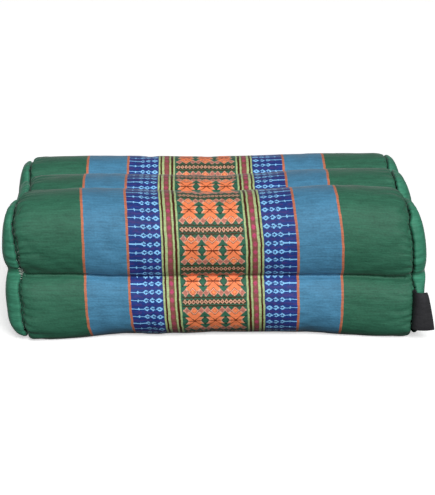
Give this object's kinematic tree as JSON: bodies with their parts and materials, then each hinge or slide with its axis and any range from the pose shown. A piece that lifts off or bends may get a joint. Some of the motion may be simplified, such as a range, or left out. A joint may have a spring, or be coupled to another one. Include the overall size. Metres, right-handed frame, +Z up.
{
  "type": "yoga cushion",
  "caption": "Block-shaped yoga cushion of stuffed tubes under one patterned woven cloth, with plain puffed end panels and a folded side label.",
  "frame": {"origin": "on the surface it stands on, under the middle of the cushion", "axes": "+X along the tubes from the left end to the right end as seen from the front, -Y towards the front face with the label at its right end, +Z up"},
  "size_m": [0.3558, 0.1893, 0.1226],
  "materials": {
    "patterned_cloth": "woven cotton with a supplementary-weft pattern",
    "plain_cloth": "plain woven cotton, slight sheen",
    "label_ribbon": "matte woven ribbon"
  },
  "bodies": {
    "root": {"cushion_body": "patterned_cloth", "end_panel_left": "plain_cloth", "end_panel_right": "plain_cloth", "side_label": "label_ribbon"}
  },
  "joints": []
}
